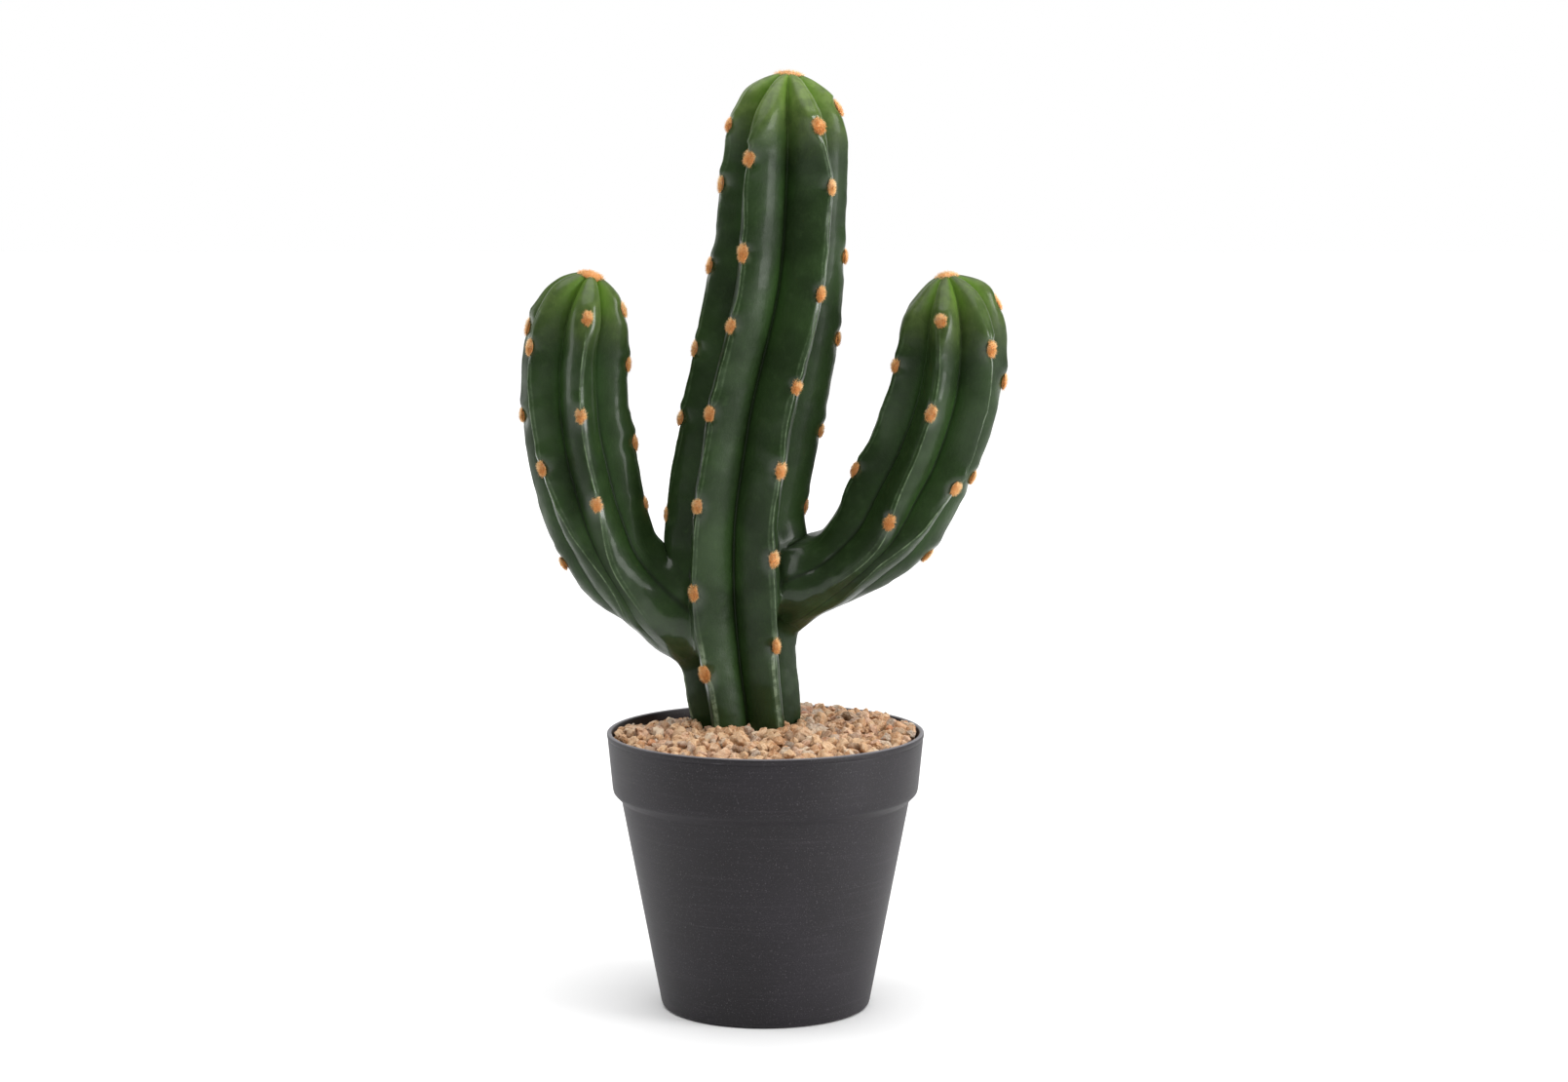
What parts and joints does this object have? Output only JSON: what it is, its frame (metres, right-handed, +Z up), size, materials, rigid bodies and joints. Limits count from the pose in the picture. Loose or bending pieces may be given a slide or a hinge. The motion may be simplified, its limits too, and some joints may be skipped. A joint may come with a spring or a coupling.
{
  "type": "potted saguaro cactus",
  "caption": "Ribbed columnar cactus with an upcurved arm on each side, standing in gravel in a tapered round plastic pot; a decorative plant for a shelf or table.",
  "frame": {"origin": "on the pot's axis, on the plane that the pot's foot ring stands on", "axes": "+Z up along the plant; +X to the right of a viewer who faces the front, so the two arms lie along X; -Y towards that viewer"},
  "size_m": [0.1854, 0.12, 0.3536],
  "materials": {
    "pot_plastic": "matte",
    "potting_mix": "matte",
    "gravel_stone": "satin",
    "cactus_skin": "gloss",
    "areole_fibre": "matte"
  },
  "bodies": {
    "root": {"pot": "pot_plastic", "potting_mix": "potting_mix", "gravel": "gravel_stone", "saguaro": "cactus_skin"}
  },
  "joints": []
}
